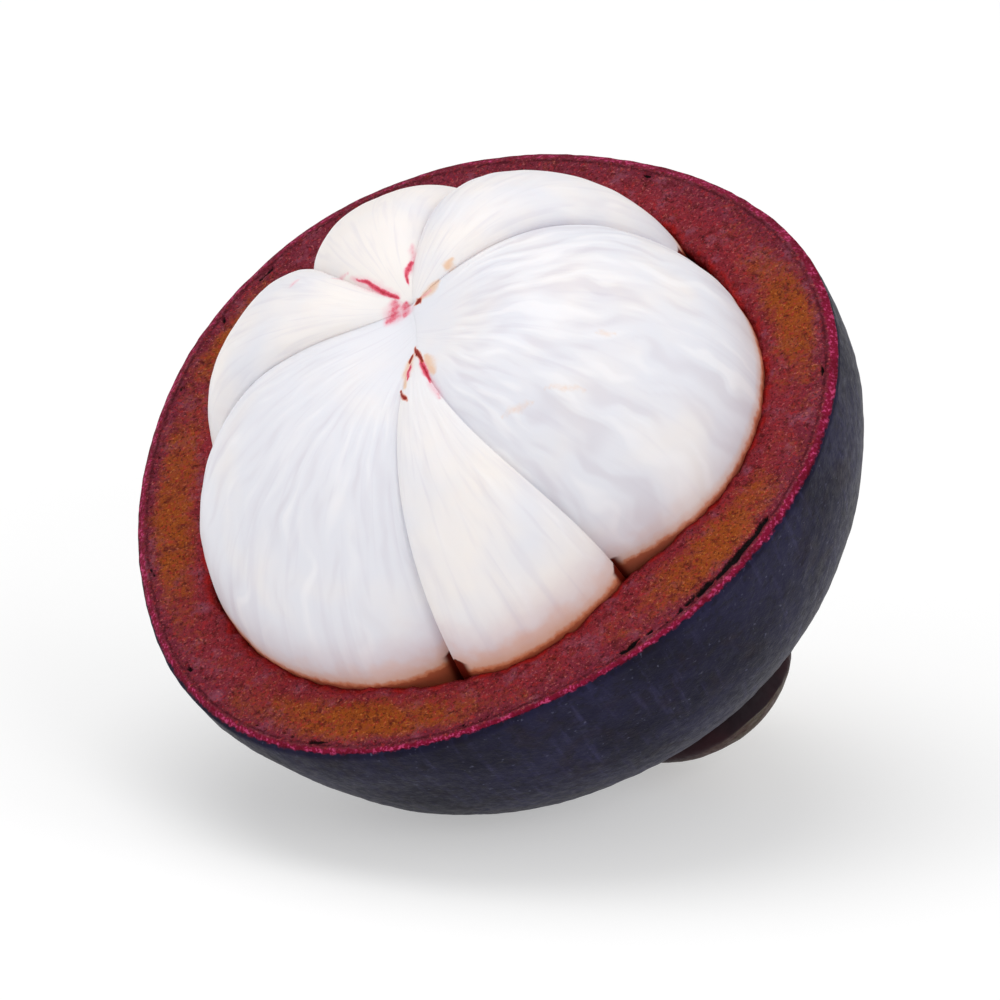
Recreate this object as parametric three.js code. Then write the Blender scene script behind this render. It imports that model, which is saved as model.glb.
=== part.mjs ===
// A mangosteen with the top of its rind cut away, so that the white flesh stands in a thick
// purple cup. It leans on the side of its rind and on a lobe of the calyx under it.
// Millimetres, +Z up, on the plane z = 0.

import * as THREE from "three";

const DEGREE = Math.PI / 180;

// How the fruit lies: its axis leans from the vertical, towards a heading in the ground plane.
const LEAN = 38 * DEGREE;
const HEADING = -127.4 * DEGREE;
const FLAT_DEPTH = 0.45;

// The rind. In the fruit's own frame the cut is the plane z = 0, z runs out of the opening,
// and x points to the low side. The body's centre is just below the cut.
const BODY_CENTRE_Z = -0.5;
const BODY_RADIUS = 30.25;
const BODY_DEPTH = 30.4;
const BODY_FULLNESS = 1.8;
const BODY_LEANING = 0.8;
const BODY_LEANING_AZIMUTH = 172 * DEGREE;
const END_FLATTENING = 1.8;
const SHOULDER_HEIGHT = 3.6;
const DENT_DEPTH = 0.15;
const RIND_SIDES = 72;

// The fruit's outline seen along its axis, as waves round it: how many, their height as a share
// of the radius, and the azimuth of a crest. It has one shape at the cut and a rounder one low
// down, and changes between them over this share of the height.
const CUT_WAVES = [
  { count: 1, height: 0.0289, azimuth: -119.7 },
  { count: 2, height: 0.0061, azimuth: 83.9 },
  { count: 3, height: 0.0303, azimuth: -1.7 },
  { count: 4, height: 0.0064, azimuth: -17.8 },
];
const LOW_WAVES = [
  { count: 3, height: 0.021, azimuth: -4.3 },
  { count: 4, height: 0.005, azimuth: -25.8 },
];
const CUT_SHAPE_REACH = 0.5;

// The cut through the rind: rounded off at the skin and at the cavity, grainy between them.
const SKIN_ROUNDING = 0.4;
const INNER_ROUNDING = 0.25;
const CUT_HOLLOW = 0.15;
const CUT_GRAIN = 0.12;
const CUT_ANGLE = 5 * DEGREE;

// The flesh: one ball of six segments, each with its own bulge.
const FLESH_CENTRE_Z = -4;
const FLESH_RADIUS = 24.3;
const FLESH_HEIGHT = 20.5;
const FLESH_DEPTH = 19.2;
const FLESH_FULLNESS = 2.3;
const FLAT_SIDES = [
  { azimuth: 64, depth: 2.3, width: 26 },
  { azimuth: 248, depth: 0.8, width: 38 },
];
const SWELL_ROUNDNESS = 2.7;
const SWELL_POWER = 0.75;
const INNER_FOLD = 0.5;
const CREASE_GAP = 0.32;
const JUNCTION_DIP = 1.6;
const JUNCTION_DIP_RADIUS = 5.5;
const FLESH_ROWS = 12;

// The cavity keeps clear of the flesh. Ridges of rind reach in between the segments near the
// cut, and fade out between two heights below it.
const CAVITY_GAP = 0.4;
const RIDGE_HEIGHT = 1.3;
const RIDGE_FADE_TOP = -2;
const RIDGE_FADE_BOTTOM = -6;

// The creases between segments start at one of two junctions near the axis and bow sideways.
const JUNCTION_LOW = new THREE.Vector2(1.35, 1.65);
const JUNCTION_HIGH = new THREE.Vector2(-2.6, -1.1);
const CREASES = [
  { azimuth: 27, junction: JUNCTION_LOW, bow: -0.8 },
  { azimuth: 69, junction: JUNCTION_LOW, bow: -2.3 },
  { azimuth: 159, junction: JUNCTION_HIGH, bow: 0.5 },
  { azimuth: 202, junction: JUNCTION_HIGH, bow: 0.6 },
  { azimuth: 243, junction: JUNCTION_HIGH, bow: 2.2 },
  { azimuth: 292, junction: JUNCTION_HIGH, bow: 1.7 },
];

// Segments in turn round the axis, each from one crease to the next.
const SEGMENTS = [
  { name: "segment_wedge", rise: 0.3, fold: 0.095, columns: 8, start: 0.07 },
  { name: "segment_large_right", rise: 1.3, fold: 0.09, columns: 14, start: 0.01 },
  { name: "segment_upper", rise: 1.6, fold: 0.1, columns: 8, start: 0.07 },
  { name: "segment_small", rise: 1.8, fold: 0.1, columns: 8, start: 0.07 },
  { name: "segment_side", rise: 1.5, fold: 0.1, columns: 8, start: 0.07 },
  { name: "segment_large_left", rise: 1, fold: 0.09, columns: 14, start: 0.01 },
];

// The calyx lobes, by azimuth, with the distance over the rind from the stem to the widest
// place, the half width there, how far the lobe's outside stands off the rind, the share of
// that lost at its edge, and the edge's thickness.
const LOBES = [
  {
    name: "calyx_lobe_front",
    azimuth: 82, middle: 12, halfWidth: 8.4, standoff: 4.8, cupping: 0.6, edgeThickness: 1.7,
  },
  {
    name: "calyx_lobe_right",
    azimuth: 164, middle: 11.2, halfWidth: 7.4, standoff: 4.6, cupping: 0.4, edgeThickness: 0.8,
  },
  {
    name: "calyx_lobe_back",
    azimuth: 250, middle: 11.3, halfWidth: 7.6, standoff: 5, cupping: 0.4, edgeThickness: 0.8,
  },
  {
    name: "calyx_lobe_under",
    azimuth: 331, middle: 9.4, halfWidth: 5.8, standoff: 4, cupping: 0.4, edgeThickness: 0.8,
  },
];
const LOBE_FOOT = 4.9;
const LOBE_FOOT_HALF_WIDTH = 2.9;
const LOBE_THICKNESS = 2.1;
const LOBE_ROWS = 11;
const LOBE_COLUMNS = 8;
const RIND_GAP = 0.35;

const STEM_LENGTH = 4.5;
const STEM_RADIUS = 3.1;
const STEM_FOOT_RADIUS = 4.2;

const rindMaterial = new THREE.MeshStandardMaterial({ color: 0x2d2a3a, roughness: 0.55, metalness: 0 });
const fleshMaterial = new THREE.MeshStandardMaterial({ color: 0xefebea, roughness: 0.35, metalness: 0 });
const calyxMaterial = new THREE.MeshStandardMaterial({ color: 0x4a3324, roughness: 0.6, metalness: 0 });
const stemMaterial = new THREE.MeshStandardMaterial({ color: 0x8a7a3c, roughness: 0.7, metalness: 0 });

function polar(radius, azimuth, z) {
  return new THREE.Vector3(radius * Math.cos(azimuth), radius * Math.sin(azimuth), z);
}

function bell(angle, centre, width) {
  const turn = THREE.MathUtils.euclideanModulo(angle - centre + Math.PI, 2 * Math.PI) - Math.PI;
  return Math.exp(-((turn / width) ** 2));
}

// A closed surface under construction: points and the triangles between them.
class Skin {
  constructor() {
    this.points = [];
    this.triangles = [];
  }

  add(point) {
    this.points.push(point);
    return this.points.length - 1;
  }

  addRow(points) {
    return points.map((point) => this.add(point));
  }

  triangle(a, b, c) {
    this.triangles.push(a, b, c);
  }

  // Two triangles that fill a, b, c, d, which run anticlockwise seen from outside.
  quad(a, b, c, d) {
    this.triangle(a, b, c);
    this.triangle(a, c, d);
  }

  band(rowA, rowB) {
    for (let i = 0; i < rowA.length - 1; i += 1) {
      this.quad(rowA[i], rowA[i + 1], rowB[i + 1], rowB[i]);
    }
  }

  geometry() {
    const geometry = new THREE.BufferGeometry().setFromPoints(this.points);
    geometry.setIndex(this.triangles);
    geometry.computeVertexNormals();
    return geometry;
  }
}

function waves(list, azimuth) {
  return list.reduce((sum, wave) => {
    return sum + wave.height * Math.cos(wave.count * (azimuth - wave.azimuth * DEGREE));
  }, 1);
}

// Distance from the body's centre to the outside of the rind, along a direction given by its
// angle from the calyx end of the axis and its azimuth.
function rindDistance(angle, azimuth) {
  const side = Math.sin(angle);
  const down = Math.cos(angle);
  const low = THREE.MathUtils.smoothstep(down, 0, CUT_SHAPE_REACH);
  const outline = THREE.MathUtils.lerp(waves(CUT_WAVES, azimuth), waves(LOW_WAVES, azimuth), low);
  const across = side / (BODY_RADIUS * outline);
  const round = down > 0
    ? (across ** BODY_FULLNESS + (down / BODY_DEPTH) ** BODY_FULLNESS) ** (-1 / BODY_FULLNESS)
    : 1 / Math.hypot(across, down / SHOULDER_HEIGHT);
  const flattening = END_FLATTENING * THREE.MathUtils.smoothstep(down, 0.7, 1);
  const leaning = BODY_LEANING * side * THREE.MathUtils.smoothstep(down, -0.05, 0.3);
  const dents = DENT_DEPTH * Math.sin(5 * angle + 2 * azimuth) * Math.cos(3 * azimuth - 4 * angle);
  return round - flattening + leaning * Math.cos(azimuth - BODY_LEANING_AZIMUTH) + side * dents;
}

// Cosine of the angle between such a direction and straight down.
function downShare(angle, azimuth) {
  return Math.sin(angle) * Math.cos(azimuth) * Math.sin(LEAN) + Math.cos(angle) * Math.cos(LEAN);
}

// Height of the body's centre over the ground, with the lowest spot of the rind made flat.
function restHeight() {
  let lowest = 0;
  for (let angle = 0; angle < 90; angle += 1) {
    for (let azimuth = -60; azimuth <= 60; azimuth += 1) {
      const reach = rindDistance(angle * DEGREE, azimuth * DEGREE);
      lowest = Math.max(lowest, reach * downShare(angle * DEGREE, azimuth * DEGREE));
    }
  }
  return lowest - FLAT_DEPTH;
}

const REST_HEIGHT = restHeight();

// A distance from the body's centre, cut short where it would pass through the ground.
function aboveGround(distance, angle, azimuth) {
  const share = downShare(angle, azimuth);
  return share > 0 ? Math.min(distance, REST_HEIGHT / share) : distance;
}

function bodyPoint(distance, angle, azimuth) {
  return polar(distance * Math.sin(angle), azimuth, BODY_CENTRE_Z - distance * Math.cos(angle));
}

// Greatest radius of the flesh at an azimuth. Two sides are a little flat.
function fleshRadius(azimuth) {
  return FLAT_SIDES.reduce((radius, side) => {
    return radius - side.depth * bell(azimuth, side.azimuth * DEGREE, side.width * DEGREE);
  }, FLESH_RADIUS);
}

// How full a segment's surface is between one crease (0) and the other (1).
function swell(across) {
  return (1 - Math.abs(2 * across - 1) ** SWELL_ROUNDNESS) ** SWELL_POWER;
}

function segmentSpan(index) {
  const next = CREASES[(index + 1) % CREASES.length];
  return THREE.MathUtils.euclideanModulo(next.azimuth - CREASES[index].azimuth, 360);
}

// How far the segments' outline falls in towards its creases, at an azimuth.
function outlineDrop(azimuth) {
  let drop = 0;
  SEGMENTS.forEach((segment, index) => {
    const span = segmentSpan(index);
    const turn = THREE.MathUtils.euclideanModulo(azimuth / DEGREE - CREASES[index].azimuth, 360);
    if (turn < span) {
      const width = 2 * FLESH_RADIUS * Math.sin((span / 2) * DEGREE);
      drop = segment.fold * width * (1 - swell(turn / span));
    }
  });
  return drop;
}

// The wall of the cavity, which near the cut follows the segments' outline part of the way in.
function cavityRadius(azimuth, z) {
  const fade = RIDGE_FADE_TOP - RIDGE_FADE_BOTTOM;
  const nearCut = THREE.MathUtils.clamp((z - RIDGE_FADE_BOTTOM) / fade, 0, 1);
  const ridge = Math.min(outlineDrop(azimuth), RIDGE_HEIGHT);
  return fleshRadius(azimuth) + CAVITY_GAP - nearCut * ridge;
}

function cavityPoint(angle, azimuth) {
  const z = FLESH_CENTRE_Z - (FLESH_DEPTH + CAVITY_GAP) * Math.sin(angle);
  return polar(cavityRadius(azimuth, z) * Math.cos(angle), azimuth, z);
}

// One turn of the rind's surface, as points at equal steps of azimuth.
function ring(pointAt) {
  const points = [];
  for (let i = 0; i < RIND_SIDES; i += 1) {
    points.push(pointAt((i / RIND_SIDES) * 2 * Math.PI));
  }
  return points;
}

// The rind's rings from the calyx end up the outside, over the cut and down into the cavity.
function rindRings() {
  const rings = [];
  const rimAngle = Math.PI / 2 - Math.atan(BODY_CENTRE_Z / BODY_RADIUS);
  const outsideSteps = 14;
  for (let i = 1; i <= outsideSteps; i += 1) {
    const angle = (rimAngle - SKIN_ROUNDING / BODY_RADIUS) * (i / outsideSteps);
    rings.push(ring((azimuth) => bodyPoint(
      aboveGround(rindDistance(angle, azimuth), angle, azimuth), angle, azimuth)));
  }
  const rimRadius = (azimuth) => rindDistance(rimAngle, azimuth) * Math.sin(rimAngle);
  const innerRadius = (azimuth) => cavityRadius(azimuth, 0) * Math.cos(CUT_ANGLE);
  rings.push(ring((azimuth) => polar(rimRadius(azimuth) - SKIN_ROUNDING, azimuth, 0)));
  for (const share of [0.35, 0.7]) {
    rings.push(ring((azimuth) => {
      const radius = THREE.MathUtils.lerp(rimRadius(azimuth), innerRadius(azimuth), share);
      const grain = CUT_GRAIN * Math.sin(11 * azimuth + 9 * share) * Math.cos(7 * azimuth);
      return polar(radius, azimuth, grain - CUT_HOLLOW);
    }));
  }
  rings.push(ring((azimuth) => polar(innerRadius(azimuth) + INNER_ROUNDING, azimuth, -CUT_GRAIN)));
  const insideSteps = 10;
  for (let i = 0; i < insideSteps; i += 1) {
    const angle = THREE.MathUtils.lerp(-0.8 * CUT_ANGLE, Math.PI / 2, i / insideSteps);
    rings.push(ring((azimuth) => cavityPoint(angle, azimuth)));
  }
  return rings;
}

function rindGeometry() {
  const skin = new Skin();
  const outerEnd = skin.add(bodyPoint(aboveGround(rindDistance(0, 0), 0, 0), 0, 0));
  const rows = rindRings().map((points) => skin.addRow(points));
  const innerEnd = skin.add(cavityPoint(Math.PI / 2, 0));
  for (const row of rows) {
    row.push(row[0]);
  }
  for (let i = 0; i < RIND_SIDES; i += 1) {
    skin.triangle(outerEnd, rows[0][i + 1], rows[0][i]);
    skin.triangle(innerEnd, rows.at(-1)[i], rows.at(-1)[i + 1]);
  }
  for (let i = 0; i < rows.length - 1; i += 1) {
    skin.band(rows[i], rows[i + 1]);
  }
  return skin.geometry();
}

// A crease seen along the axis, from its junction (0) to the flesh's greatest radius (1),
// shifted sideways by half of the gap.
function creasePoint(crease, along, shift) {
  const azimuth = crease.azimuth * DEGREE;
  const radius = fleshRadius(azimuth);
  const end = new THREE.Vector2(radius * Math.cos(azimuth), radius * Math.sin(azimuth));
  const chord = end.clone().sub(crease.junction);
  const sideways = new THREE.Vector2(-chord.y, chord.x).normalize();
  const offset = crease.bow * 4 * along * (1 - along) + shift;
  return crease.junction.clone().addScaledVector(chord, along).addScaledVector(sideways, offset);
}

// A place in a segment seen along the axis: along runs outwards, across runs between creases.
function segmentPlan(index, along, across) {
  const from = CREASES[index];
  const to = CREASES[(index + 1) % CREASES.length];
  const azimuth = (from.azimuth + segmentSpan(index) * across) * DEGREE;
  const radius = fleshRadius(azimuth);
  const arc = new THREE.Vector2(radius * Math.cos(azimuth), radius * Math.sin(azimuth));
  const chord = creasePoint(from, 1, 0).lerp(creasePoint(to, 1, 0), across);
  const straight = creasePoint(from, along, CREASE_GAP / 2);
  straight.lerp(creasePoint(to, along, -CREASE_GAP / 2), across);
  return straight.addScaledVector(arc.sub(chord), along);
}

// The segment's surface: turn runs from the top (0) over the outside (0.5) to the bottom (1).
function segmentPoint(index, turn, across) {
  const { fold, start } = SEGMENTS[index];
  const top = turn < 0.5;
  const height = top ? FLESH_HEIGHT : FLESH_DEPTH;
  const along = start + (1 - start) * Math.sin(turn * Math.PI);
  const rise = top ? SEGMENTS[index].rise * THREE.MathUtils.smoothstep(along, 0, 0.6) : 0;
  const place = segmentPlan(index, along, across);
  const radius = fleshRadius(place.angle());
  const outward = Math.min(place.length() / radius, 1);
  const fullness = top ? FLESH_FULLNESS : 2;
  const upward = turn === 0.5 ? 0 : (1 - outward ** fullness) ** (1 / fullness);
  const slopeOut = outward ** (fullness - 1) / radius;
  const slopeUp = upward ** (fullness - 1) / height;
  const normalOut = slopeOut / Math.hypot(slopeOut, slopeUp);
  const normalUp = slopeUp / Math.hypot(slopeOut, slopeUp);
  const width = segmentPlan(index, along, 0).distanceTo(segmentPlan(index, along, 1));
  const folding = top ? THREE.MathUtils.lerp(INNER_FOLD, 1, THREE.MathUtils.smoothstep(along, 0.5, 1)) : 1;
  const drop = fold * folding * width * (1 - swell(across)) - rise * swell(across) * normalUp;
  const moved = segmentPlan(index, along - (drop * normalOut) / radius, across);
  const dip = top ? JUNCTION_DIP * Math.exp(-((place.length() / JUNCTION_DIP_RADIUS) ** 2)) : 0;
  const z = height * upward - drop * normalUp - dip;
  return new THREE.Vector3(moved.x, moved.y, FLESH_CENTRE_Z + (top ? z : -z));
}

function segmentGeometry(index) {
  const skin = new Skin();
  const { columns } = SEGMENTS[index];
  const rows = [];
  for (let i = 0; i <= 2 * FLESH_ROWS; i += 1) {
    const points = [];
    for (let j = 0; j <= columns; j += 1) {
      const across = (1 - Math.cos((j / columns) * Math.PI)) / 2;
      points.push(segmentPoint(index, i / (2 * FLESH_ROWS), across));
    }
    rows.push(skin.addRow(points));
  }
  for (let i = 0; i < 2 * FLESH_ROWS; i += 1) {
    skin.band(rows[i + 1], rows[i]);
  }
  skin.band(rows[0], rows.at(-1));
  // Flat sides, from the crease at the top straight down to the one at the bottom.
  for (let i = 0; i < FLESH_ROWS - 1; i += 1) {
    const low = 2 * FLESH_ROWS - i;
    skin.quad(rows[i][0], rows[low][0], rows[low - 1][0], rows[i + 1][0]);
    skin.quad(rows[i][columns], rows[i + 1][columns], rows[low - 1][columns], rows[low][columns]);
  }
  const last = FLESH_ROWS - 1;
  skin.triangle(rows[last][0], rows[last + 2][0], rows[last + 1][0]);
  skin.triangle(rows[last][columns], rows[last + 1][columns], rows[last + 2][columns]);
  return skin.geometry();
}

function lobeHalfWidth(lobe, reach) {
  if (reach > lobe.middle) {
    return lobe.halfWidth * Math.sqrt(1 - ((reach - lobe.middle) / lobe.halfWidth) ** 2);
  }
  const share = (reach - LOBE_FOOT) / (lobe.middle - LOBE_FOOT);
  return THREE.MathUtils.lerp(LOBE_FOOT_HALF_WIDTH, lobe.halfWidth, Math.sin((share * Math.PI) / 2));
}

// The two faces of a calyx lobe at one place: the outer one, away from the rind, is cut short
// by the ground, and the inner one keeps clear of the rind. The lobe is cupped towards the rind.
function lobeFaces(lobe, reach, across) {
  const sideways = across * lobeHalfWidth(lobe, reach);
  const azimuth = lobe.azimuth * DEGREE + Math.atan2(sideways, reach);
  const angle = Math.hypot(reach, sideways) / BODY_DEPTH;
  const rind = rindDistance(angle, azimuth);
  const toEdge = Math.min(Math.hypot(sideways, Math.max(reach - lobe.middle, 0)) / lobe.halfWidth, 1);
  const footRise = THREE.MathUtils.smoothstep(reach, LOBE_FOOT - 4, lobe.middle);
  const standoff = lobe.standoff * footRise * (1 - lobe.cupping * toEdge ** 2);
  const thickness = THREE.MathUtils.lerp(LOBE_THICKNESS, lobe.edgeThickness, toEdge ** 3);
  const outer = aboveGround(rind + standoff, angle, azimuth);
  const inner = Math.max(rind + RIND_GAP, outer - thickness);
  return [bodyPoint(inner, angle, azimuth), bodyPoint(outer, angle, azimuth)];
}

function lobeGeometry(lobe) {
  const skin = new Skin();
  const innerRows = [];
  const outerRows = [];
  for (let i = 0; i <= LOBE_ROWS; i += 1) {
    const share = Math.sin((0.97 * (i / LOBE_ROWS) * Math.PI) / 2);
    const reach = THREE.MathUtils.lerp(LOBE_FOOT, lobe.middle + lobe.halfWidth, share);
    const faces = [];
    for (let j = 0; j <= LOBE_COLUMNS; j += 1) {
      faces.push(lobeFaces(lobe, reach, (2 * j) / LOBE_COLUMNS - 1));
    }
    innerRows.push(skin.addRow(faces.map((face) => face[0])));
    outerRows.push(skin.addRow(faces.map((face) => face[1])));
  }
  for (let i = 0; i < LOBE_ROWS; i += 1) {
    skin.band(innerRows[i + 1], innerRows[i]);
    skin.band(outerRows[i], outerRows[i + 1]);
    skin.quad(innerRows[i][0], outerRows[i][0], outerRows[i + 1][0], innerRows[i + 1][0]);
    skin.quad(outerRows[i].at(-1), innerRows[i].at(-1), innerRows[i + 1].at(-1), outerRows[i + 1].at(-1));
  }
  skin.band(innerRows[0], outerRows[0]);
  skin.band(outerRows.at(-1), innerRows.at(-1));
  return skin.geometry();
}

// The stub of the stem, flared where it joins the calyx and uneven where it broke off.
function stemGeometry() {
  const top = BODY_CENTRE_Z - rindDistance(0, 0) - RIND_GAP;
  const end = top - STEM_LENGTH;
  const profile = [
    new THREE.Vector2(0, end + 0.5),
    new THREE.Vector2(STEM_RADIUS * 0.75, end),
    new THREE.Vector2(STEM_RADIUS * 1.05, end + 0.35),
    new THREE.Vector2(STEM_RADIUS, end + 1.6),
    new THREE.Vector2(STEM_RADIUS * 1.08, top - 1.8),
    new THREE.Vector2(STEM_FOOT_RADIUS, top - 0.7),
    new THREE.Vector2(STEM_FOOT_RADIUS, top),
    new THREE.Vector2(0, top),
  ];
  return new THREE.LatheGeometry(profile, 20).rotateX(Math.PI / 2);
}

function mesh(name, geometry, material) {
  const piece = new THREE.Mesh(geometry, material);
  piece.name = name;
  return piece;
}

const fruit = new THREE.Group();
fruit.add(mesh("rind", rindGeometry(), rindMaterial));
SEGMENTS.forEach((segment, index) => fruit.add(mesh(segment.name, segmentGeometry(index), fleshMaterial)));
for (const lobe of LOBES) {
  fruit.add(mesh(lobe.name, lobeGeometry(lobe), calyxMaterial));
}
fruit.add(mesh("stem_stub", stemGeometry(), stemMaterial));
fruit.position.z = -BODY_CENTRE_Z;

// The body's centre is the pivot of the lean. Then the whole is turned to its heading.
const leaning = new THREE.Group();
leaning.add(fruit);
leaning.rotation.y = LEAN;
leaning.position.z = REST_HEIGHT;

const mangosteen = new THREE.Group();
mangosteen.add(leaning);
mangosteen.rotation.z = HEADING;
mangosteen.updateMatrixWorld(true);

// The origin is under the middle of the fruit's box.
const centre = new THREE.Box3().setFromObject(mangosteen, true).getCenter(new THREE.Vector3());
mangosteen.position.set(-centre.x, -centre.y, 0);

export default mangosteen;
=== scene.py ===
import math

import bmesh
import bpy
from mathutils import Matrix, Vector, noise


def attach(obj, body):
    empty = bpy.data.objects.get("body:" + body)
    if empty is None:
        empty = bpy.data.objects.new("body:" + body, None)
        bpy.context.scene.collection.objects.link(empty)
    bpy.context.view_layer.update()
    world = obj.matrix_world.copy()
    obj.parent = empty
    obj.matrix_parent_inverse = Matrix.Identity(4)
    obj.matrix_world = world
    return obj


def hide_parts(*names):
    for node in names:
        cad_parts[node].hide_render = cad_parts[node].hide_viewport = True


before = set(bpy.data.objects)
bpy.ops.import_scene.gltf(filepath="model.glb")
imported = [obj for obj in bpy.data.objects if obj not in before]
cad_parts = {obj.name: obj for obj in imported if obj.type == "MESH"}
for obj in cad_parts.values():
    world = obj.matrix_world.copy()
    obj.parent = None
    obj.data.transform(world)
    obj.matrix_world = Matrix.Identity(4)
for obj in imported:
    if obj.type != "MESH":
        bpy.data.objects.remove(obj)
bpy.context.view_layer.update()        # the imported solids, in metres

lie = {  # how the fruit lies: degrees, and where the middle of the cut is, in mm
    "lean": 38,
    "heading": -127.4,
    "cutCentre": (-1.641, -2.950, 28.748),
}
detail = 1  # share of the full number of faces

# The fruit's own frame is in mm: z runs out of the opening, the cut is z = 0, x is downhill.
toWorld = (
    Matrix.Scale(0.001, 4)
    @ Matrix.Translation(lie["cutCentre"])
    @ Matrix.Rotation(math.radians(lie["heading"]), 4, "Z")
    @ Matrix.Rotation(math.radians(lie["lean"]), 4, "Y")
)


def clamp(value, low=0.0, high=1.0):
    return max(low, min(high, value))


def lerp(a, b, share):
    return a + (b - a) * share


def smoothStep(value, low, high):
    share = clamp((value - low) / (high - low))
    return share * share * (3 - 2 * share)


def bell(distance, width):
    return math.exp(-((distance / width) ** 2))


def polar(radius, azimuth, z):
    return Vector((radius * math.cos(azimuth), radius * math.sin(azimuth), z))


seedSpacing = 17.3  # how far apart the seeds are in the noise


def grain(point, size, seed=0):  # smooth noise from -1 to 1, with lumps of this size in mm
    x, y, z = (part / size for part in point)
    return noise.noise(Vector((x, y, z + seedSpacing * seed)))


def grains(point, layers, start=0):  # added to start: height, size and seed of each grain
    return sum((height * grain(point, size, seed) for height, size, seed in layers), start)


def turnBetween(azimuth, centre):
    return (azimuth - centre + math.pi) % (2 * math.pi) - math.pi


# Materials


class Wire:  # a socket that shader maths can be written with
    def __init__(self, finish, socket):
        self.finish = finish
        self.socket = socket

    def maths(self, operation, *values):
        return self.finish.node("Math", {"operation": operation}, dict(enumerate(values)))

    def __add__(self, other):
        return self.maths("ADD", self, other)

    def __sub__(self, other):
        return self.maths("SUBTRACT", self, other)

    def __rsub__(self, other):
        return self.maths("SUBTRACT", other, self)

    def __mul__(self, other):
        return self.maths("MULTIPLY", self, other)

    def __truediv__(self, other):
        return self.maths("DIVIDE", self, other)

    def between(self, low, high):  # 0 at low, 1 at high, smooth between them
        ranged = {"interpolation_type": "SMOOTHSTEP"}
        return self.finish.node("MapRange", ranged, {0: self, 1: low, 2: high})

    def near(self, centre, width):  # 1 at centre, 0 from width away
        return 1 - self.maths("ABSOLUTE", self - centre).between(0, width)


class Finish:  # one material and its nodes
    def __init__(self, name, **constants):
        self.material = bpy.data.materials.new(name)
        self.material.use_nodes = True
        self.tree = self.material.node_tree
        self.shader = self.tree.nodes["Principled BSDF"]
        self.object = self.node("TexCoord", output="Object")
        for socket, value in constants.items():
            self.shader.inputs[socket].default_value = value

    def node(self, kind, settings=None, inputs=None, output=0):
        made = self.tree.nodes.new("ShaderNode" + kind)
        for key, value in (settings or {}).items():
            setattr(made, key, value)
        for key, value in (inputs or {}).items():
            if isinstance(value, Wire):
                self.tree.links.new(value.socket, made.inputs[key])
            else:
                made.inputs[key].default_value = value
        return Wire(self, made.outputs[output])

    def mix(self, a, b, share):  # colour a at share 0, b at share 1
        return self.node("Mix", {"data_type": "RGBA"}, {0: share, 6: a, 7: b}, 2)

    def attribute(self, name, output="Fac"):
        return self.node("Attribute", {"attribute_name": name}, output=output)

    def parts(self, vector):  # x, y and z as three wires
        split = self.node("SeparateXYZ", {}, {0: vector}).socket.node
        return [Wire(self, socket) for socket in split.outputs]

    def stretched(self, vector, scale):
        return self.node("Mapping", {}, {"Vector": vector, "Scale": scale})

    def noise(self, size, detail=2.0, roughness=0.5, distortion=0.0):  # size in mm
        inputs = {"Vector": self.object, "Scale": 1000 / size, "Detail": detail}
        inputs.update({"Roughness": roughness, "Distortion": distortion})
        return self.node("TexNoise", {}, inputs)

    def cells(self, size):  # size in mm
        inputs = {"Vector": self.object, "Scale": 1000 / size}
        return self.node("TexVoronoi", {}, inputs, "Distance")

    def bump(self, height, depth):  # depth in mm
        inputs = {"Height": height, "Distance": depth * 0.001, "Strength": 1.0}
        return self.node("Bump", {}, inputs, "Normal")

    def feed(self, **wires):
        for socket, wire in wires.items():
            self.tree.links.new(wire.socket, self.shader.inputs[socket.replace("_", " ")])
        return self.material


def colour(red, green, blue):  # from 0 to 255 as a screen shows it
    return tuple(clamp(part / 255) ** 2.2 for part in (red, green, blue)) + (1.0,)


def makePiece(name, work, material, replaced):
    mesh = bpy.data.meshes.new(name)
    work.to_mesh(mesh)
    work.free()
    mesh.materials.append(material)
    mesh.shade_smooth()
    piece = bpy.data.objects.new(name, mesh)
    bpy.context.scene.collection.objects.link(piece)
    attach(piece, "root")
    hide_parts(replaced)


weldDistance = 1e-6  # metres


def soften(work, turns):  # each turn moves every vertex halfway to its neighbours
    axes = {"use_axis_x": True, "use_axis_y": True, "use_axis_z": True}
    for turn in range(turns):
        bmesh.ops.smooth_vert(work, verts=work.verts, factor=0.5, **axes)


# Rind

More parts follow.
